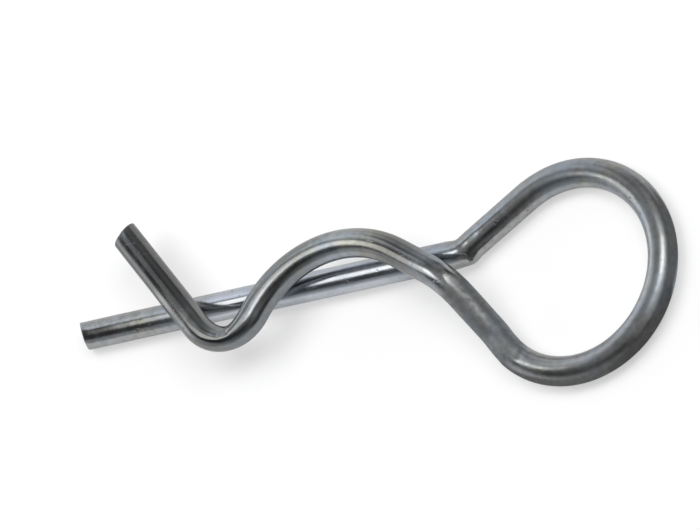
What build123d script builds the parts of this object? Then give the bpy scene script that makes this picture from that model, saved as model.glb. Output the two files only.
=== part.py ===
from build123d import *
import os
from math import acos, atan2, cos, degrees, radians, sin, tan

# An R clip: one length of round spring wire, bent cold. The straight leg goes through the hole in a
# shaft, the eye springs it shut and the waved leg lies across it, one wire higher, and grips outside.
# It lies flat, as on a table: straight leg and eye on the surface, waved leg above. +X runs from the
# free end of the straight leg to the eye. Lengths are millimetres and angles degrees.

# wire
wire_d = 4.0

# straight leg, and the neck where it bends to the eye
leg_length = 60.6         # free end to the start of the neck bend
leg_end_chamfer = 0.45    # lead-in at the free end
neck_bend_inside = 2.0    # radius inside the bend
neck_bend_angle = 30.2
shank_length = 10.5       # straight wire from the neck bend to the eye

# eye
eye_inside_d = 23.3
eye_closing_angle = 87.5  # between the two wires that close the eye

# the wire leaves the eye and climbs until it can cross over the straight leg
climb_bend_inside = 2.0   # radius inside the bend at the foot of the climb
climb_slope = 27.4
crossing_gap = 0.7        # air between the crossing wires

# waved leg
crossing_bend_inside = 9.0  # one bend both levels the wire and turns it over the straight leg
crossing_angle = 34.5     # between the wires where they cross
crest_rise = 3.2          # crest above the straight leg's axis, in plan
crest_inside = 14.5       # radius that seats on the shaft
fall_angle = 55.1         # of the wire between crest and trough, to the straight leg
trough_inside = 3.8
tip_angle = 53.0          # of the tip to the straight leg
tip_length = 19.6
tip_shear_slant = 20.0    # the shear leaves the tip's end leaning back from its lower edge
tip_shear_skew = 9.0      # and a little to one side
tip_edge_break = 0.25

wire_r = wire_d / 2
eye_exit_heading = neck_bend_angle + 180 - eye_closing_angle  # of the wire that leaves the eye, from +X
left, up, right = 0, 90, 180  # sides of the wire, looking along it


def bend_radius(inside):
    """Radius of the wire's centreline in a bend, from the radius inside the bend."""
    return inside + wire_r


def straight(start, length):
    """A straight run of wire from a start place, which looks along its own Z, and where it ends."""
    run = start * extrude(Circle(wire_r), length)
    return run, start * Pos(Z=length)


def bend(start, inside, angle, side):
    """A bend of the wire to one side of its start place, and where it ends."""
    radius = bend_radius(inside)
    turned = start * Rot(Z=side)
    run = turned * revolve(Circle(wire_r), Axis((radius, 0, 0), (0, 1, 0)), angle)
    end = turned * Pos(X=radius) * Rot(Y=angle) * Pos(X=-radius) * Rot(Z=-side)
    return run, end


def levelled(place):
    """The same place, its left side level again after a slanting bend."""
    ahead = Plane(place).z_dir
    return Plane(origin=place.position, x_dir=(-ahead.Y, ahead.X, 0), z_dir=ahead).location


def straight_leg():
    """The straight leg from its chamfered free end, and the place where the neck bend starts."""
    free_end = Plane(origin=(0, 0, wire_r), x_dir=(0, 1, 0), z_dir=(1, 0, 0)).location
    run, neck = straight(free_end, leg_length)
    rim = run.edges().sort_by(Axis.X)[0]
    return chamfer(rim, leg_end_chamfer), neck


def eye(neck):
    """Neck bend, shank and eye, all flat, and the place where the eye ends."""
    neck_bend, at = bend(neck, neck_bend_inside, neck_bend_angle, left)
    shank, at = straight(at, shank_length)
    loop, at = bend(at, eye_inside_d / 2, 180 + eye_closing_angle, right)
    return [neck_bend, shank, loop], at


def crossing_bend():
    """Angle and side of the bend that levels the climbing wire and turns it to its crossing angle."""
    slope, turn = radians(climb_slope), radians(180 - crossing_angle - eye_exit_heading)
    return degrees(acos(cos(turn) * cos(slope))), degrees(atan2(-cos(turn) * sin(slope), sin(turn)))


def climb(eye_end):
    """The climb from the eye, and the slanting bend that ends it a wire and a gap above the straight leg."""
    slope = radians(climb_slope)
    angle, side = crossing_bend()
    rise = wire_d + crossing_gap - bend_radius(climb_bend_inside) * (1 - cos(slope))
    foot, at = bend(eye_end, climb_bend_inside, climb_slope, up)
    ramp, at = straight(at, rise / sin(slope) - bend_radius(crossing_bend_inside) * tan(radians(angle / 2)))
    head, at = bend(at, crossing_bend_inside, angle, side)
    return [foot, ramp, head], levelled(at)


def waved_leg(level):
    """Straight crossing, crest and trough, and the place where the tip starts."""
    crest_radius = bend_radius(crest_inside)
    crest_start = crest_rise - crest_radius * (1 - cos(radians(crossing_angle)))
    crossing, at = straight(level, (crest_start - level.position.Y) / sin(radians(crossing_angle)))
    crest, at = bend(at, crest_inside, crossing_angle + fall_angle, left)
    trough, at = bend(at, trough_inside, fall_angle + tip_angle, right)
    return [crossing, crest, trough], at


def tip(start):
    """The straight tip of the waved leg, its end left slanted by the shear."""
    run, end = straight(start, tip_length + wire_r)
    cut = end * Pos(Z=-wire_r) * Rot(X=-tip_shear_slant) * Rot(Y=tip_shear_skew)
    run = split(run, bisect_by=Plane(cut), keep=Keep.BOTTOM)
    cut_face = run.faces().sort_by_distance(cut.position)[0]
    return chamfer(cut_face.edges(), tip_edge_break)


def r_clip():
    """The whole wire as one solid, its runs joined end to end."""
    leg, neck = straight_leg()
    eye_runs, eye_end = eye(neck)
    climb_runs, level = climb(eye_end)
    wave_runs, tip_start = waved_leg(level)
    clip = leg.fuse(*eye_runs, *climb_runs, *wave_runs, tip(tip_start))
    box = clip.bounding_box()
    return Pos(-box.center().X, -box.center().Y, -box.min.Z) * clip


os.makedirs("parts", exist_ok=True)
spring_wire = r_clip()
export_step(spring_wire, "parts/spring_wire.step")
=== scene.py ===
import bpy
import bmesh
from math import cos, pi, radians, sin
from mathutils import Matrix, Vector


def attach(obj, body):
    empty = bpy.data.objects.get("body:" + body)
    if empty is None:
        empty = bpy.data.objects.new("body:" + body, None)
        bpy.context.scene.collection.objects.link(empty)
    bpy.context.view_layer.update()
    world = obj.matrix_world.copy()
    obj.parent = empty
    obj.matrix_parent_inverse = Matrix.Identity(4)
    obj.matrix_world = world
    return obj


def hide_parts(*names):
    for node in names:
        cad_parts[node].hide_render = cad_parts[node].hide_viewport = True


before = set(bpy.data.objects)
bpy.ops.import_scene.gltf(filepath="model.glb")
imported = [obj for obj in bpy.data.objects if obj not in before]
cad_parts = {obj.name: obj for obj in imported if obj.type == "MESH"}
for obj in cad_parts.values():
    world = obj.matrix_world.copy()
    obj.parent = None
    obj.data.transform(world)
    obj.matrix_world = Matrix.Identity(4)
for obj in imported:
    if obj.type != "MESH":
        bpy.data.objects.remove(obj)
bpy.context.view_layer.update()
mm = 0.001


# the wire, modelled run by run from its free end

wire = {
    "diameter": 4.0,                         # everything here is in millimetres and degrees
    "freeEnd": (-47.1016, 4.30416, 2.0),
    "sides": 64,                             # corners round the wire
    "ringLength": 0.6,                       # length of a ring of faces on the straights
    "ringTurn": 3.0,                         # turn of a ring of faces in the bends
    "mergeWithin": 0.01,
    "smoothBelow": 35.0,                     # shaded smooth up to this angle between faces
    # straights by length; bends by radius inside the bend, angle, and side, from left over up
    "route": [
        ("ahead", 60.6),                     # straight leg
        ("bend", 2.0, 30.2, 0),              # neck bend
        ("ahead", 10.5),                     # shank
        ("bend", 11.65, 267.5, 180),         # eye
        ("bend", 2.0, 27.4, 90),             # foot of the climb
        ("ahead", 5.7621),
        ("bend", 9.0, 35.0706, -47.5904),    # levels the wire and turns it over the straight leg
        ("ahead", 5.6950),
        ("bend", 14.5, 89.6, 0),             # crest
        ("bend", 3.8, 108.1, 180),           # trough
        ("ahead", 17.6),                     # tip, short of where its end is cut
    ],

    # sheared ends
    "endLength": 2.0,                        # from the last ring to the middle of the cut
    "freeEndFaces": (-0.90, -0.26, 0.35),    # the shear leaves both ends slanted
    "tipSlant": 20.0,
    "tipSkew": 9.0,
    "freeEdge": 0.14,                        # rounding of the rims
    "tipEdge": 0.09,
    "edgeSteps": 3,
    "edgeAngle": 30.0,
    "cutGrid": 16,
    "tornDepth": 0.05,                       # of the torn grain in the middle of a cut
    "tornSpread": 0.8,                       # share of the radius
    "tornWithin": 0.1,                       # from the plane of the cut
    "tornEven": 0.4,
    "tornSeed": 7,
    "burr": 0.12,
    "burrAside": 0.3,
    "rollOver": 0.10,
    "rimReach": 0.6,

    # marks of the bending, each with how far round it the surface follows
    "tightBend": 4.0,                        # bends tighter than this inside are marked
    "footLift": (0.38, -0.24, 0.60),         # draws out the foot of the climb
    "footBand": 0.12,                        # half the length that is lifted whole
    "footReach": 6.5,
    "footSmoothed": 4.5,
    "footSmoothing": (0.5, 12),              # factor and rounds
    "troughSpot": (0.75, -0.66),             # inwards and down, in radii from the wire's middle
    "troughPress": (0.58, 0.34),             # outwards and down
    "troughReach": 3.9,
    "pinDent": 0.13,                         # inside the neck bend
    "pinReach": 1.5,
    "outerFlat": 0.09,                       # and outside it
    "outerReach": 2.6,
    # place on the surface, push, reach
    "toolMarks": [
        # head of the climb
        ((15.9, -1.2, 7.7), (-0.07, 0.01, -0.11), 0.8),
        ((15.0, 0.1, 7.9), (0.07, 0.03, 0.10), 0.7),
        ((14.5, 0.6, 8.1), (-0.07, -0.02, -0.12), 0.8),
        # foot of the climb
        ((23.8, -12.2, 3.9), (-0.03, -0.05, -0.17), 0.9),
        ((24.6, -12.5, 3.9), (0.02, 0.03, 0.11), 0.8),
        # outer corner and top of the neck
        ((16.3, 3.0, 2.3), (0.17, -0.26, 0.04), 1.3),
        ((15.7, 2.6, 1.2), (0.10, -0.18, 0.02), 1.3),
        ((15.6, 4.7, 3.9), (-0.02, 0.02, -0.07), 0.9),
        ((17.0, 5.2, 3.8), (0.0, 0.02, -0.06), 0.7),
        # trough
        ((-19.6, -2.2, 8.3), (0.0, -0.04, -0.09), 0.6),
        ((-20.8, -2.3, 8.4), (0.0, -0.04, -0.08), 0.5),
    ],
    "uneven": 0.035,                         # of the drawing, and millimetres from lump to lump
    "unevenScale": 5.0,
}
wireRadius = wire["diameter"] / 2 * mm


def deselectAll():
    for thing in bpy.context.selected_objects:
        thing.select_set(False)


def extrudeBy(step):
    bpy.ops.mesh.extrude_edges_move(TRANSFORM_OT_translate={"value": step})


# a place on the route stands on the wire's centreline: it looks along its own Z, left is X and up is Y

def goAhead(place, length):
    rings = max(1, round(length / wire["ringLength"]))
    for ring in range(rings):
        extrudeBy(place.col[2].xyz * (length / rings) * mm)
    return place @ Matrix.Translation((0, 0, length * mm))


def goRound(place, inside, angle, side):
    radius = (inside + wire["diameter"] / 2) * mm
    turned = place @ Matrix.Rotation(radians(side), 4, "Z")
    bpy.ops.mesh.spin(steps=max(2, round(angle / wire["ringTurn"])), angle=-radians(angle),
                      center=turned @ Vector((radius, 0, 0)), axis=turned.col[1].xyz)

    def partWay(share):
        swung = Matrix.Rotation(radians(angle * share), 4, "Y")
        return turned @ Matrix.Translation((radius, 0, 0)) @ swung @ Matrix.Translation((-radius, 0, 0))

    return partWay(1) @ Matrix.Rotation(-radians(side), 4, "Z"), partWay(0.5)


def levelled(place):
    # the same place with left level again, after a slanting bend
    ahead = place.col[2].xyz
    left = Vector((-ahead.y, ahead.x, 0)).normalized()
    turned = Matrix((left, ahead.cross(left), ahead)).transposed()
    return Matrix.Translation(place.translation) @ turned.to_4x4()


def drawWire(freeEnd):
    # starts and ends with one long ring of faces, for the cuts
    endLength = wire["endLength"]
    extrudeBy((2 * endLength * mm, 0, 0))
    place = Matrix(((0, 0, 1, freeEnd.x + endLength * mm), (1, 0, 0, freeEnd.y), (0, 1, 0, freeEnd.z),
                    (0, 0, 0, 1)))
    drawn = endLength                        # of the first straight
    tightBends = []
    for kind, *sizes in wire["route"]:
        if kind == "ahead":
            place = goAhead(place, sizes[0] - drawn)
            drawn = 0
            continue
        inside, angle, side = sizes
        place, middle = goRound(place, inside, angle, side)
        if inside < wire["tightBend"]:
            tightBends.append(middle)
        if side % 90:
            place = levelled(place)
    extrudeBy(place.col[2].xyz * 2 * endLength * mm)
    bpy.ops.mesh.select_all(action="SELECT")
    bpy.ops.mesh.remove_doubles(threshold=wire["mergeWithin"] * mm)
    bpy.ops.mesh.normals_make_consistent(inside=False)
    return place, tightBends


def unroll(clip, freeEnd):
    # a seam along the underside, then all quads follow the first
    # U counts sides round the wire, V is millimetres along it
    clip.data.uv_layers.active.name = "wireRun"
    bm = bmesh.from_edit_mesh(clip.data)
    layer = bm.loops.layers.uv.active
    bpy.ops.mesh.select_all(action="DESELECT")
    bm.edges.ensure_lookup_table()
    near = 1.5 * wire["endLength"] * mm      # only the end rings have edges as long as this
    along = [e for e in bm.edges if e.calc_length() > near and e.verts[0].co.x < freeEnd.x + near]
    lowest = min(along, key=lambda e: e.verts[0].co.z)
    lowest.select_set(True)
    face = lowest.link_faces[0]
    bm.faces.active = face
    middle = face.calc_center_median().x
    seamSide = set(lowest.verts)
    for loop in face.loops:
        loop[layer].uv = (0 if loop.vert in seamSide else 1,
                          lowest.calc_length() / mm if loop.vert.co.x > middle else 0)
    bmesh.update_edit_mesh(clip.data)
    bpy.ops.mesh.loop_multi_select(ring=False)
    bpy.ops.mesh.mark_seam()
    bpy.ops.mesh.select_all(action="SELECT")
    bpy.context.scene.tool_settings.use_uv_select_sync = True
    bpy.ops.uv.follow_active_quads(mode="LENGTH_AVERAGE")


def isNear(point, centre, reach):
    return (point - centre).length < reach


def selectOnly(clip, keep, part="verts"):
    bpy.ops.mesh.select_mode(type={"verts": "VERT", "edges": "EDGE", "faces": "FACE"}[part])
    bpy.ops.mesh.select_all(action="DESELECT")
    bm = bmesh.from_edit_mesh(clip.data)
    for item in getattr(bm, part):
        if keep(item):
            item.select_set(True)
    bm.select_flush_mode()
    bmesh.update_edit_mesh(clip.data)


def moveSelected(value, reach, falloff="SMOOTH"):
    # the surface round it follows, less and less towards the reach
    bpy.ops.transform.translate(value=value, use_proportional_edit=True, use_proportional_connected=True,
                                proportional_edit_falloff=falloff, proportional_size=reach * mm)


def push(clip, spot, value, reach, falloff="SMOOTH"):
    bm = bmesh.from_edit_mesh(clip.data)
    nearest = min(bm.verts, key=lambda v: (v.co - spot).length_squared)
    selectOnly(clip, lambda v: v == nearest)
    moveSelected(value, reach, falloff)


def cutOff(clip, centre, outwards):
    # the long ring of faces at an end is cut aslant; the other faces near it are less than half as large
    large = 2 * wire["ringLength"] * mm * 2 * pi * wireRadius / wire["sides"]
    selectOnly(clip, lambda f: f.calc_area() > large
               and isNear(f.calc_center_median(), centre, 2 * wireRadius), "faces")
    bpy.ops.mesh.bisect(plane_co=centre, plane_no=outwards, use_fill=False, clear_outer=True)


def closeEnd(clip, centre, outwards, edge):
    # a grid of faces over the open end, its rim rounded a little and its middle torn
    selectOnly(clip, lambda e: e.is_boundary and isNear(e.verts[0].co, centre, 2 * wireRadius), "edges")
    bpy.ops.mesh.fill_grid(span=wire["cutGrid"])
    bpy.context.object.active_material_index = 1
    bpy.ops.object.material_slot_assign()
    selectOnly(clip, lambda e: len(e.link_faces) == 2 and isNear(e.verts[0].co, centre, 2 * wireRadius)
               and e.calc_face_angle(0) > radians(wire["edgeAngle"]), "edges")
    bpy.ops.mesh.bevel(offset=edge * mm, segments=wire["edgeSteps"], affect="EDGES")
    selectOnly(clip, lambda v: isNear(v.co, centre, wire["tornSpread"] * wireRadius)
               and abs((v.co - centre).dot(outwards)) < wire["tornWithin"] * mm)
    bpy.ops.transform.vertex_random(offset=wire["tornDepth"] * mm, uniform=wire["tornEven"], normal=0.0,
                                    seed=wire["tornSeed"])


def shearEnds(clip, freeEnd, place):
    slant, skew = radians(wire["tipSlant"]), radians(wire["tipSkew"])
    cut = (place @ Matrix.Translation((0, 0, wire["endLength"] * mm))
           @ Matrix.Rotation(-slant, 4, "X") @ Matrix.Rotation(skew, 4, "Y"))
    tipFaces, freeFaces = cut.col[2].xyz, Vector(wire["freeEndFaces"]).normalized()
    cutOff(clip, cut.translation, tipFaces)
    cutOff(clip, freeEnd, freeFaces)
    closeEnd(clip, cut.translation, tipFaces, wire["tipEdge"])
    closeEnd(clip, freeEnd, freeFaces, wire["freeEdge"])
    # the blade rolls the tip's upper rim over and leaves a burr below
    upper, lower = cut @ Vector((0, wireRadius, 0)), cut @ Vector((wire["burrAside"] * mm, -wireRadius, 0))
    push(clip, upper, -cut.col[1].xyz * wire["rollOver"] * mm, wire["rimReach"])
    push(clip, lower, place.col[2].xyz * wire["burr"] * mm, wire["rimReach"])


def drawOutFoot(clip, middle):
    # the middle of the bend is lifted, and the slope on both sides follows
    foot, ahead = middle.translation, middle.col[2].xyz
    selectOnly(clip, lambda v: isNear(v.co, foot, 1.2 * wireRadius)
               and abs((v.co - foot).dot(ahead)) < wire["footBand"] * mm)
    moveSelected(Vector(wire["footLift"]) * mm, wire["footReach"])
    selectOnly(clip, lambda v: isNear(v.co, foot, wire["footSmoothed"] * mm))
    factor, rounds = wire["footSmoothing"]
    bpy.ops.mesh.vertices_smooth(factor=factor, repeat=rounds)


def markBends(clip, neck, trough):
    # the bending pin leaves the wire thinner inside the trough
    spot = trough @ (Vector((*wire["troughSpot"], 0)) * wireRadius)
    outwards, down = wire["troughPress"]
    push(clip, spot, (trough.col[1].xyz * down - trough.col[0].xyz * outwards) * mm, wire["troughReach"])
    for spot, value, reach in wire["toolMarks"]:
        push(clip, Vector(spot) * mm, Vector(value) * mm, reach, "ROOT")
    # it dents the inside of the neck, and the outside is stretched flat
    inward = neck.col[0].xyz
    push(clip, neck @ Vector((wireRadius, 0, 0)), -inward * wire["pinDent"] * mm, wire["pinReach"], "SPHERE")
    push(clip, neck @ Vector((-wireRadius, 0, 0)), inward * wire["outerFlat"] * mm, wire["outerReach"])


def makeUneven(clip):
    lumps = bpy.data.textures.new("unevenDrawing", "CLOUDS")
    lumps.noise_scale = wire["unevenScale"] * mm
    uneven = clip.modifiers.new("unevenDrawing", "DISPLACE")
    uneven.texture, uneven.strength, uneven.texture_coords = lumps, wire["uneven"] * mm, "LOCAL"
    bpy.ops.object.modifier_apply(modifier=uneven.name)


def faceOutwards(clip):
    # recalculated normals can still point inwards, where the far end is slanted
    bpy.ops.object.mode_set(mode="EDIT")
    bpy.ops.mesh.select_all(action="SELECT")
    if bmesh.from_edit_mesh(clip.data).calc_volume(signed=True) < 0:
        bpy.ops.mesh.flip_normals()
    bpy.ops.object.mode_set(mode="OBJECT")


def makeWire():
    freeEnd = Vector(wire["freeEnd"]) * mm
    start = freeEnd - Vector((wire["endLength"] * mm, 0, 0))
    deselectAll()
    bpy.ops.mesh.primitive_circle_add(vertices=wire["sides"], fill_type="NOTHING", radius=wireRadius,
                                      location=start, rotation=(0, pi / 2, 0))
    clip = bpy.context.object
    clip.name = clip.data.name = "springWire"
    bpy.ops.object.material_slot_add()       # drawn surface
    bpy.ops.object.material_slot_add()       # sheared ends
    bpy.ops.object.transform_apply(location=True, rotation=True, scale=True)
    bpy.ops.object.mode_set(mode="EDIT")
    bpy.ops.mesh.select_mode(type="EDGE")
    bpy.ops.mesh.select_all(action="SELECT")
    place, (neck, foot, trough) = drawWire(freeEnd)
    unroll(clip, freeEnd)
    print("wire drawn and unrolled")
    shearEnds(clip, freeEnd, place)
    print("ends cut")
    drawOutFoot(clip, foot)
    print("foot of the climb drawn out")
    markBends(clip, neck, trough)
    print("bends marked")
    bpy.ops.mesh.select_all(action="SELECT")
    bpy.ops.mesh.normals_make_consistent(inside=False)
    bpy.ops.object.mode_set(mode="OBJECT")
    makeUneven(clip)
    faceOutwards(clip)
    bpy.ops.object.shade_smooth_by_angle(angle=radians(wire["smoothBelow"]))
    return clip


clip = makeWire()
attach(clip, "root")
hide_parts("spring_wire")
print("wire modelled,", len(clip.data.polygons), "faces")


# node helpers

def feed(tree, socket, value):
    if isinstance(value, bpy.types.NodeSocket):
        tree.links.new(value, socket)
    else:
        socket.default_value = value


def addNode(tree, kind, settings=None, inputs=None):
    node = tree.nodes.new("ShaderNode" + kind)
    for key, value in (settings or {}).items():
        setattr(node, key, value)
    for key, value in (inputs or {}).items():
        feed(tree, node.inputs[key], value)
    return node


def newGroup(name, inputs, outputs):
    group = bpy.data.node_groups.new(name, "ShaderNodeTree")
    for label, kind, value in inputs:
        socket = group.interface.new_socket(label, in_out="INPUT", socket_type="NodeSocket" + kind)
        socket.default_value = value
    for label, kind in outputs:
        group.interface.new_socket(label, in_out="OUTPUT", socket_type="NodeSocket" + kind)
    return group, group.nodes.new("NodeGroupInput").outputs, group.nodes.new("NodeGroupOutput").inputs


def useGroup(tree, group, inputs):
    return addNode(tree, "Group", {"node_tree": group}, inputs).outputs


def calc(tree, operation, first, second=0.0, third=0.0):
    return addNode(tree, "Math", {"operation": operation}, {0: first, 1: second, 2: third}).outputs[0]


def spread(tree, value, low, high, toLow=0.0, toHigh=1.0):
    inputs = {"Value": value, "From Min": low, "From Max": high, "To Min": toLow, "To Max": toHigh}
    return addNode(tree, "MapRange", {"interpolation_type": "SMOOTHSTEP"}, inputs).outputs[0]


def vectorCalc(tree, operation, first, second):
    return addNode(tree, "VectorMath", {"operation": operation}, {0: first, 1: second}).outputs["Value"]


def opaque(colour):
    return (*colour, 1)


def blendColours(tree, amount, first, second, way="MIX"):
    node = addNode(tree, "Mix", {"data_type": "RGBA", "blend_type": way}, {0: amount})
    for socket, value in ((node.inputs[6], first), (node.inputs[7], second)):    # its two colours
        feed(tree, socket, value if isinstance(value, bpy.types.NodeSocket) else opaque(value))
    return node.outputs[2]


def noise(tree, place, scale, detail=2.0, coarse=0.5, seed=None):
    inputs = {"Vector": place, "Scale": scale, "Detail": detail, "Roughness": coarse}
    if seed is None:
        return addNode(tree, "TexNoise", None, inputs).outputs[0]
    return addNode(tree, "TexNoise", {"noise_dimensions": "4D"}, {**inputs, "W": seed}).outputs[0]


def split(tree, vector):
    return addNode(tree, "SeparateXYZ", None, {0: vector}).outputs


def strongest(tree, masks):
    mask = masks[0]
    for other in masks[1:]:
        mask = calc(tree, "MAXIMUM", mask, other)
    return mask


# patterns of the finish; a pair says where a mask is 0 and where it is 1

patterns = {
    # cloudy stains: detail, coarseness and seed of the two large ones, and how much finer the mottling is
    "patches": (4.0, 0.62, 1.7),
    "strawPatches": (5.0, 0.6, 9.2),
    "mottlingFiner": 7.0,
    "mottlingDetail": 3.0,
    "blueFrom": (0.46, 0.66),
    "blueMore": 0.14,            # at the blued spots
    "strawFrom": (0.52, 0.72),
    "strawMore": 0.12,
    "lilacFrom": (0.52, 0.72),
    "lilacMost": 0.6,
    "shadeFrom": (0.36, 0.64),
    "shades": (0.82, 1.08),
    # lines of the drawing die
    "lineLength": 0.014,         # change per millimetre along, against one radius round
    "lineDetail": 5.0,
    "lineCoarse": 0.7,
    "darkLineFrom": (0.60, 0.70),
    # fine scratches: turn and offset of each set, tilt of them all, and scale along, across and in depth
    "scratchSets": ((0.5, 0.0), (-0.9, 3.1), (2.1, 7.7)),
    "scratchTilt": 0.4,
    "scratchRoll": 1.7,
    "scratchScale": (190.0, 2600.0, 420.0),
    "scratchFrom": (0.68, 0.74),
    "scuffedScale": 210.0,       # of the places that have them
    "scuffedFrom": (0.50, 0.66),
    "scuffedMore": 0.4,
    # pits in the plating
    "pitScale": 1400.0,
    "pitChosen": (0.93, 0.96),
    "pitEdge": (0.32, 0.12),
    "spotCore": 0.35,            # share of a spot's reach in which it is whole
}


def plateStainsGroup():
    # cloudy tones of the passivation, fine mottling over large patches
    tones = [(tone, "Color", (0.4, 0.4, 0.4, 1)) for tone in ("Grey", "Blue", "Lilac", "Straw")]
    group, inputs, outputs = newGroup(
        "plateStains",
        [("Place", "Vector", (0, 0, 0)), ("Size", "Float", 6.0), ("Depth", "Float", 0.7),
         ("Yellowed", "Float", 0.0), ("Blued", "Float", 0.0), *tones],
        [("Colour", "Color"), ("Patches", "Float")])
    often = calc(group, "DIVIDE", 1.0, calc(group, "MULTIPLY", inputs["Size"], mm))
    patches = noise(group, inputs["Place"], often, *patterns["patches"])
    strawPatches = noise(group, inputs["Place"], often, *patterns["strawPatches"])
    mottling = noise(group, inputs["Place"], calc(group, "MULTIPLY", often, patterns["mottlingFiner"]),
                     patterns["mottlingDetail"])
    blued = calc(group, "MULTIPLY_ADD", inputs["Blued"], patterns["blueMore"], patches)
    yellowed = calc(group, "MULTIPLY_ADD", inputs["Yellowed"], patterns["strawMore"], strawPatches)
    shares = {
        "Blue": spread(group, blued, *patterns["blueFrom"]),
        "Lilac": spread(group, mottling, *patterns["lilacFrom"], 0.0, patterns["lilacMost"]),
        "Straw": spread(group, yellowed, *patterns["strawFrom"]),
    }
    colour = inputs["Grey"]
    for tone, share in shares.items():
        share = calc(group, "MULTIPLY", inputs["Depth"], share)
        colour = blendColours(group, share, colour, inputs[tone])
    both = calc(group, "MULTIPLY", calc(group, "ADD", mottling, patches), 0.5)
    shade = spread(group, both, *patterns["shadeFrom"], *patterns["shades"])
    shadeColour = addNode(group, "CombineXYZ", None, {0: shade, 1: shade, 2: shade}).outputs[0]
    group.links.new(blendColours(group, 1.0, colour, shadeColour, "MULTIPLY"), outputs["Colour"])
    group.links.new(patches, outputs["Patches"])
    return group


def dieLinesGroup():
    # fine lines along the wire; Run is the unrolled surface: sides round, millimetres along
    group, inputs, outputs = newGroup(
        "dieLines", [("Run", "Vector", (0, 0, 0)), ("Fineness", "Float", 9.0)],
        [("Height", "Float"), ("Dark", "Float")])
    run = split(group, inputs["Run"])
    turn = calc(group, "MULTIPLY", run[0], 2 * pi / wire["sides"])
    aroundWire = addNode(group, "CombineXYZ", None, {
        0: calc(group, "COSINE", turn), 1: calc(group, "SINE", turn),
        2: calc(group, "MULTIPLY", run[1], patterns["lineLength"])}).outputs[0]
    lines = noise(group, aroundWire, inputs["Fineness"], patterns["lineDetail"], patterns["lineCoarse"])
    group.links.new(lines, outputs["Height"])
    group.links.new(spread(group, lines, *patterns["darkLineFrom"]), outputs["Dark"])
    return group


def scuffsGroup():
    # short fine scratches in several directions, and small pits in the plating
    group, inputs, outputs = newGroup(
        "scuffs", [("Place", "Vector", (0, 0, 0)), ("Share", "Float", 0.3)],
        [("Scratches", "Float"), ("Pits", "Float")])
    sets = []
    for turned, offset in patterns["scratchSets"]:
        laid = addNode(group, "Mapping", None, {
            "Vector": inputs["Place"], "Location": (offset, 0, 0), "Scale": patterns["scratchScale"],
            "Rotation": (patterns["scratchTilt"], turned, turned * patterns["scratchRoll"])}).outputs[0]
        sets.append(spread(group, noise(group, laid, 1.0), *patterns["scratchFrom"]))
    scuffed = calc(group, "MULTIPLY_ADD", inputs["Share"], patterns["scuffedMore"],
                   noise(group, inputs["Place"], patterns["scuffedScale"]))
    scuffed = spread(group, scuffed, *patterns["scuffedFrom"])
    group.links.new(calc(group, "MULTIPLY", strongest(group, sets), scuffed), outputs["Scratches"])
    cells = addNode(group, "TexVoronoi", None,
                    {"Vector": inputs["Place"], "Scale": patterns["pitScale"]}).outputs
    chance = addNode(group, "SeparateColor", None, {0: cells["Color"]}).outputs[0]
    pits = calc(group, "MULTIPLY", spread(group, chance, *patterns["pitChosen"]),
                spread(group, cells["Distance"], *patterns["pitEdge"]))
    group.links.new(pits, outputs["Pits"])
    return group


plateStains, dieLines, scuffs = plateStainsGroup(), dieLinesGroup(), scuffsGroup()


def nearSpots(tree, place, spots):
    # 1 at a spot, 0 past its reach; both in millimetres
    masks = []
    for spot, reach in spots:
        away = vectorCalc(tree, "DISTANCE", place, Vector(spot) * mm)
        masks.append(spread(tree, away, reach * mm, patterns["spotCore"] * reach * mm))
    return strongest(tree, masks)


def stretches(tree, run, ends, soft):
    # the share between each two ends, in millimetres along the wire
    along = split(tree, run)[1]
    masks = []
    for first, last, share in ends:
        masks.append(calc(tree, "MULTIPLY", spread(tree, along, first - soft, first + soft),
                          spread(tree, along, last + soft, last - soft, 0.0, share)))
    return strongest(tree, masks)


# finish: clear bluish zinc over drawn wire, with painted shade and a painted highlight along some stretches

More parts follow.
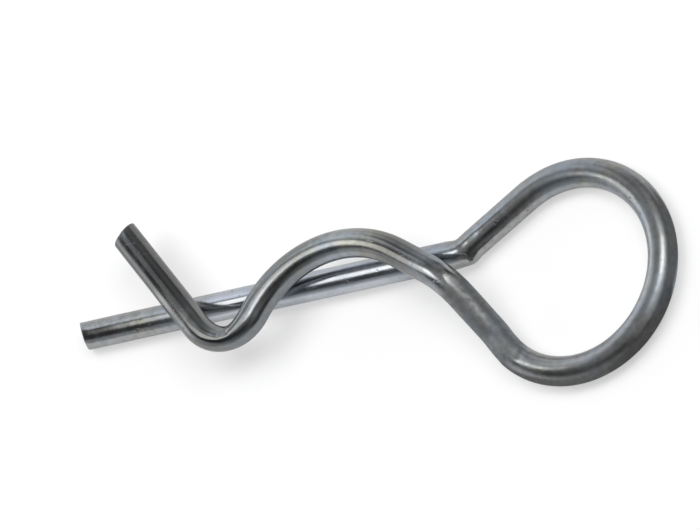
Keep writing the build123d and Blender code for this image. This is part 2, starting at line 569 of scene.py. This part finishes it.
zinc = {
    "grey": (0.335, 0.34, 0.332),    # tones of the passivated zinc
    "blue": (0.29, 0.33, 0.37),
    "lilac": (0.345, 0.325, 0.375),
    "straw": (0.385, 0.375, 0.32),
    "edgeTint": 0.75,                # of what it mirrors at a glancing angle
    "stainSize": 6.0,                # millimetres across a cloudy stain
    "stainDepth": 0.75,
    "roughness": (0.14, 0.26),       # over the light and the dark of the stains
    "roughnessFrom": (0.35, 0.65),
    "lineFineness": 9.0,
    "lineDepth": 0.006,              # depths are in millimetres
    "grainDepth": 0.004,
    "grainScale": 3200.0,
    "scuffShare": 0.04,
    "scuffMore": 0.5,                # at the rubbed spots
    "scratchDepth": 0.006,
    "pitDepth": 0.03,
    # spots: place, reach in millimetres
    "rubbed": [((-29.0, 5.2, 4.4), 4.0), ((4.3, 6.4, 4.4), 3.2),
               ((-30.4, 3.6, 6.4), 4.0), ((4.4, 5.4, 5.4), 3.2)],
    "yellowed": [((-2.4, 10.0, 6.7), 15.0)],
    "blued": [((31.5, -1.7, 2.0), 17.0), ((-10.0, 4.3, 2.0), 22.0)],
    # stretches: from, to in millimetres along the wire, and how strong
    # painted shade: darker colour along the crest's right end, the crest's left half, the trough and, darker
    # still, the tip
    "paintedShade": [(172.0, 230.0, 0.55), (196.0, 230.0, 0.85), (154.0, 163.0, 0.7)],
    "paintedShadeSoft": 5.0,
    # painted highlight: lighter colour along the straight leg between the two crossings
    "paintedHighlight": [(23.0, 54.5, 0.6)],
    "paintedHighlightSoft": 3.0,
    "paintedHighlightFrom": (0.70, 0.40),      # weaker on the dark of the stains
    "paintedHighlightLeast": 0.6,
    "dulled": [(134.5, 149.0, 1.0)],     # by the bending tool
    "dulledSoft": 1.3,
    "mottleScale": 1300.0,           # of the dulled stretch
    "mottleDetail": 4.0,
    "mottleFrom": (0.3, 0.7),
    "mottle": (0.75, 1.1),
    "satin": [(72.0, 134.0, 0.13)],  # the eye is softer in its shine; added roughness
    "satinSoft": 3.0,
    # what lies over the stains, one after the other: cover, colour, and the roughness that it adds
    "layers": {
        "dieLines": (0.35, (0.16, 0.165, 0.17), 0.10),
        # painted shade: this layer darkens the colour along its stretches
        "paintedShade": (1.0, (0.12, 0.12, 0.118), 0.0),
        # painted highlight: this layer lightens the colour along its stretch
        "paintedHighlight": (1.0, (0.58, 0.60, 0.66), 0.0),
        "scratches": (0.22, (0.46, 0.47, 0.48), 0.12),
        "pits": (0.6, (0.13, 0.13, 0.135), 0.0),
        "rubbed": (0.4, (0.55, 0.55, 0.54), 0.06),
        "dulled": (0.35, (0.12, 0.135, 0.155), 0.42),
    },
}

# sheared faces: thinly plated torn steel, coarser than the drawn surface
cutSteel = {
    "colour": (0.60, 0.60, 0.59),
    "stainSize": 1.6,
    "stainDepth": 0.5,
    "scuffShare": 0.9,
    "layers": {                      # cover, colour
        "Scratches": (0.7, (0.62, 0.62, 0.62)),
        "Pits": (1.0, (0.09, 0.09, 0.09)),
    },
    "tornScale": 2100.0,
    "tornDetail": 5.0,
    "tornCoarse": 0.65,
    "roughness": (0.42, 0.62),
    "roughnessFrom": (0.3, 0.7),
    "grainDepth": 0.03,
    "scratchDepth": 0.01,
}


def startMaterial(name):
    material = bpy.data.materials.new(name)
    material.use_nodes = True
    tree = material.node_tree
    shader = tree.nodes["Principled BSDF"]
    shader.inputs["Metallic"].default_value = 1.0
    return material, tree, shader, addNode(tree, "TexCoord").outputs["Object"]


def layStains(tree, place, grey, size, depth, **spots):
    return useGroup(tree, plateStains, {
        "Place": place, "Size": size, "Depth": depth, "Grey": opaque(grey), "Blue": opaque(zinc["blue"]),
        "Lilac": opaque(zinc["lilac"]), "Straw": opaque(zinc["straw"]), **spots})


def bumpFrom(tree, shader, heights):
    # one bump after the other, their depths in millimetres
    normal = None
    for height, depth in heights:
        node = addNode(tree, "Bump", None, {"Height": height, "Distance": depth * mm, "Strength": 1.0})
        if normal is not None:
            tree.links.new(normal, node.inputs["Normal"])
        normal = node.outputs[0]
    tree.links.new(normal, shader.inputs["Normal"])


def zincFinish():
    material, tree, shader, place = startMaterial("zincPlatedWire")
    run = addNode(tree, "UVMap", {"uv_map": "wireRun"}).outputs[0]
    stains = layStains(tree, place, zinc["grey"], zinc["stainSize"], zinc["stainDepth"],
                       Yellowed=nearSpots(tree, place, zinc["yellowed"]),
                       Blued=nearSpots(tree, place, zinc["blued"]))
    lines = useGroup(tree, dieLines, {"Run": run, "Fineness": zinc["lineFineness"]})
    rubbed = nearSpots(tree, place, zinc["rubbed"])
    scuffed = calc(tree, "MULTIPLY_ADD", rubbed, zinc["scuffMore"], zinc["scuffShare"])
    marks = useGroup(tree, scuffs, {"Place": place, "Share": scuffed})
    mottle = noise(tree, place, zinc["mottleScale"], zinc["mottleDetail"])
    mottle = spread(tree, mottle, *zinc["mottleFrom"], *zinc["mottle"])
    dulled = stretches(tree, run, zinc["dulled"], zinc["dulledSoft"])
    masks = {
        "dieLines": lines["Dark"],
        # painted shade along stretches of the wire
        "paintedShade": stretches(tree, run, zinc["paintedShade"], zinc["paintedShadeSoft"]),
        # painted highlight along the straight leg
        "paintedHighlight": calc(tree, "MULTIPLY", stretches(tree, run, zinc["paintedHighlight"], zinc["paintedHighlightSoft"]),
                       spread(tree, stains["Patches"], *zinc["paintedHighlightFrom"], zinc["paintedHighlightLeast"])),
        "scratches": marks["Scratches"],
        "pits": marks["Pits"],
        "rubbed": rubbed,
        "dulled": calc(tree, "MULTIPLY", dulled, mottle),
    }
    colour = stains["Colour"]
    rough = calc(tree, "ADD", spread(tree, stains["Patches"], *zinc["roughnessFrom"], *zinc["roughness"]),
                 stretches(tree, run, zinc["satin"], zinc["satinSoft"]))
    for name, (cover, tone, roughened) in zinc["layers"].items():
        colour = blendColours(tree, calc(tree, "MULTIPLY", masks[name], cover), colour, tone)
        rough = calc(tree, "MULTIPLY_ADD", masks[name], roughened, rough)
    tree.links.new(colour, shader.inputs["Base Color"])
    tree.links.new(rough, shader.inputs["Roughness"])
    shader.inputs["Specular Tint"].default_value = opaque([zinc["edgeTint"]] * 3)
    grain = noise(tree, place, zinc["grainScale"])
    bumpFrom(tree, shader, [(lines["Height"], zinc["lineDepth"]), (grain, zinc["grainDepth"]),
                            (calc(tree, "MULTIPLY", marks["Pits"], -1.0), zinc["pitDepth"]),
                            (calc(tree, "MULTIPLY", marks["Scratches"], -1.0), zinc["scratchDepth"])])
    return material


def cutSteelFinish():
    material, tree, shader, place = startMaterial("zincOnShearedSteel")
    stains = layStains(tree, place, cutSteel["colour"], cutSteel["stainSize"], cutSteel["stainDepth"])
    marks = useGroup(tree, scuffs, {"Place": place, "Share": cutSteel["scuffShare"]})
    colour = stains["Colour"]
    for name, (cover, tone) in cutSteel["layers"].items():
        colour = blendColours(tree, calc(tree, "MULTIPLY", marks[name], cover), colour, tone)
    tree.links.new(colour, shader.inputs["Base Color"])
    torn = noise(tree, place, cutSteel["tornScale"], cutSteel["tornDetail"], cutSteel["tornCoarse"])
    rough = spread(tree, torn, *cutSteel["roughnessFrom"], *cutSteel["roughness"])
    tree.links.new(rough, shader.inputs["Roughness"])
    bumpFrom(tree, shader, [(torn, cutSteel["grainDepth"]), (marks["Scratches"], cutSteel["scratchDepth"])])
    return material


clip.material_slots[0].material = zincFinish()
clip.material_slots[1].material = cutSteelFinish()
print("finish set")


# studio: pale floor, soft lamps, and cards that only the metal sees; the dim cards are painted shade in its
# reflections

studio = {
    "floorSize": 3.0,
    "floorDrop": 0.02,               # millimetres under the wire
    "floorColour": (0.94, 0.94, 0.94),
    "floorGlow": 0.5,
    # the room, by height: low, middle and ceiling; each away from its light side and towards it
    "lowSide": (-0.93, 0.36, 0.0),
    "lowFrom": (-0.25, 0.85),
    "low": ((0.10, 0.102, 0.105), (0.82, 0.85, 0.90)),
    "middleSide": (0.97, 0.26, 0.0),
    "middleFrom": (-0.1, 0.75),
    "middle": ((0.055, 0.057, 0.06), (0.50, 0.50, 0.49)),
    "middleHeight": (0.34, 0.56),    # where the low room ends and the middle begins
    "ceiling": (0.29, 0.29, 0.29),
    "ceilingHeight": (0.80, 0.92),
    # soft glows in the room: towards (azimuth, elevation), half width in degrees, colour
    "glows": {
        "backWindow": ((166, 4), 36, (1.15, 1.15, 1.15)),
        "frontWall": ((-96, 4), 38, (0.24, 0.24, 0.24)),
        "rightWall": ((-15, 43), 26, (0.32, 0.32, 0.32)),
        "backWall": ((110, 25), 24, (0.30, 0.31, 0.33)),
        "backCeiling": ((110, 72), 26, (0.12, 0.12, 0.13)),
    },
    # towards (azimuth, elevation), distance, size, power in watts, seen in the metal
    "lamps": {
        "overheadSoftbox": ((20, 56), 0.60, (0.24, 0.24), 0.96, True),
        "fillPanel": ((140, 76), 1.00, (0.80, 0.80), 6.8, False),
    },
    # place, looks at, size, colour, brightness; in millimetres
    "cards": {
        "windowCard": ((-46, 3, 53), (-46, 3, 0), (60, 36), (1.0, 0.99, 0.96), 1.9),
        "neckCard": ((-15, 1, 56), (-15, 1, 0), (25, 25), (1.0, 1.0, 1.0), 4.5),
        "skyCard": ((-255, 305, 330), (0, 0, 0), (330, 300), (0.90, 0.95, 1.02), 1.3),
        "frontCard": ((-25, -70, 9), (-25, 0, 9), (120, 20), (1.0, 1.0, 1.0), 0.8),
        # painted shade: three dim cards by the eye's right side and below it stand in for shade on the floor
        # there, seen only in the metal
        "floorShadeCard": ((57.1, 3.6, 3), (51.2, 2.8, 24), (34, 44), (1.0, 1.0, 1.0), 0.28),
        "floorShadeCardBelow": ((48.8, -19.3, 3), (44.8, -14.9, 24), (34, 44), (1.0, 1.0, 1.0), 0.2),
        "floorShadeCardFront": ((24.7, -25.1, 3), (26.2, -19.3, 24), (34, 34), (1.0, 1.0, 1.0), 0.3),
    },
    "cardFade": (0.5, 0.28),         # from a card's middle, as a share of its size
}


def towards(azimuth, elevation):
    a, e = radians(azimuth), radians(elevation)
    return Vector((cos(e) * cos(a), cos(e) * sin(a), sin(e)))


def faceObject(thing, place, target):
    away = Vector(place) - Vector(target)
    thing.rotation_euler = away.to_track_quat("Z", "Y").to_euler()
    thing.location = place


def mixedMaterial(name, amount, first, second):
    # the second shader by as much as amount gives, and the first for the rest
    material = bpy.data.materials.new(name)
    material.use_nodes = True
    tree = material.node_tree
    tree.nodes.remove(tree.nodes["Principled BSDF"])
    mixed = addNode(tree, "MixShader", None, {
        0: amount(tree), 1: addNode(tree, *first).outputs[0], 2: addNode(tree, *second).outputs[0]})
    tree.links.new(mixed.outputs[0], tree.nodes["Material Output"].inputs["Surface"])
    return material


def whereSeen(tree):
    # the floor glows only where the camera, a mirror or glass looks at it, and keeps its shadow
    path = addNode(tree, "LightPath").outputs
    seen = strongest(tree, [path["Is Camera Ray"], path["Is Glossy Ray"], path["Is Transmission Ray"]])
    return calc(tree, "MULTIPLY", seen, studio["floorGlow"])


def fadeOut(tree):
    # 1 in the middle of a card and 0 at its edges
    across = split(tree, addNode(tree, "TexCoord").outputs["UV"])
    fades = [spread(tree, calc(tree, "ABSOLUTE", calc(tree, "SUBTRACT", way, 0.5)), *studio["cardFade"])
             for way in (across[0], across[1])]
    return calc(tree, "MULTIPLY", *fades)


def makeFloor():
    deselectAll()
    bpy.ops.mesh.primitive_plane_add(size=studio["floorSize"], location=(0, 0, -studio["floorDrop"] * mm))
    floor = bpy.context.object
    floor.name = "floor"
    floor.data.materials.append(mixedMaterial(
        "paleFloor", whereSeen, ("BsdfDiffuse", None, {"Color": opaque(studio["floorColour"])}),
        ("Emission", None, {"Color": (1, 1, 1, 1), "Strength": 1.0})))


def makeLamps():
    for name, (direction, distance, size, power, mirrored) in studio["lamps"].items():
        lamp = bpy.data.lights.new(name, "AREA")
        lamp.shape = "RECTANGLE"
        lamp.size, lamp.size_y = size
        lamp.energy = power
        holder = bpy.data.objects.new(name, lamp)
        bpy.context.collection.objects.link(holder)
        holder.visible_camera, holder.visible_glossy = False, mirrored
        faceObject(holder, towards(*direction) * distance, (0, 0, 0))


def makeCards():
    for name, (place, target, size, colour, brightness) in studio["cards"].items():
        deselectAll()
        bpy.ops.mesh.primitive_plane_add(size=1)
        card = bpy.context.object
        card.name = name
        card.scale = (size[0] * mm, size[1] * mm, 1)
        faceObject(card, Vector(place) * mm, Vector(target) * mm)
        card.data.materials.append(mixedMaterial(
            name + "Sheet", fadeOut, ("BsdfTransparent",),
            ("Emission", None, {"Color": opaque(colour), "Strength": brightness})))
        card.visible_camera = card.visible_diffuse = card.visible_shadow = False


def makeRoom():
    # light low down on one side and at mid height on the other, a grey ceiling, and the glows
    world = bpy.data.worlds.new("studioRoom")
    bpy.context.scene.world = world
    world.use_nodes = True
    tree = world.node_tree
    way = addNode(tree, "TexCoord").outputs["Generated"]
    height = split(tree, way)[2]

    def lean(side, low, high):
        return spread(tree, vectorCalc(tree, "DOT_PRODUCT", way, side), low, high)

    low = blendColours(tree, lean(studio["lowSide"], *studio["lowFrom"]), *studio["low"])
    middle = blendColours(tree, lean(studio["middleSide"], *studio["middleFrom"]), *studio["middle"])
    room = blendColours(tree, spread(tree, height, *studio["middleHeight"]), low, middle)
    room = blendColours(tree, spread(tree, height, *studio["ceilingHeight"]), room, studio["ceiling"])
    for direction, halfWidth, colour in studio["glows"].values():
        glow = lean(towards(*direction), cos(radians(halfWidth)), 1.0)
        room = blendColours(tree, glow, room, colour, "ADD")
    tree.links.new(room, tree.nodes["Background"].inputs["Color"])


camera = {
    "tilt": 36.463,              # from straight down
    "towards": -32.830,          # azimuth it stands at, from +X
    "roll": -12.495,             # from having the straight leg level
    "distance": 833.33,
    "lens": 315.0,
    "sensor": 36.0,
    "looksAt": (-7.1016, 4.30416, 2.0),
    "aside": (3.1307, 2.4523),   # right of and above that point, in the picture
}


def makeCamera():
    back = towards(camera["towards"], 90 - camera["tilt"])
    level = Vector((1, 0, 0)) - back * back.x
    level.normalize()
    over = back.cross(level)
    roll = radians(camera["roll"])
    right = level * cos(roll) + over * sin(roll)
    up = over * cos(roll) - level * sin(roll)
    aside, above = camera["aside"]
    aim = (Vector(camera["looksAt"]) + right * aside + up * above) * mm
    lens = bpy.data.cameras.new("camera")
    lens.lens, lens.sensor_width, lens.sensor_fit = camera["lens"], camera["sensor"], "HORIZONTAL"
    eye = bpy.data.objects.new("camera", lens)
    bpy.context.collection.objects.link(eye)
    turned = Matrix((right, up, back)).transposed()
    eye.matrix_world = Matrix.Translation(aim + back * camera["distance"] * mm) @ turned.to_4x4()
    bpy.context.scene.camera = eye


makeFloor()
makeLamps()
makeCards()
makeRoom()
makeCamera()
bpy.context.scene.view_settings.view_transform = "Standard"
print("studio and camera set")
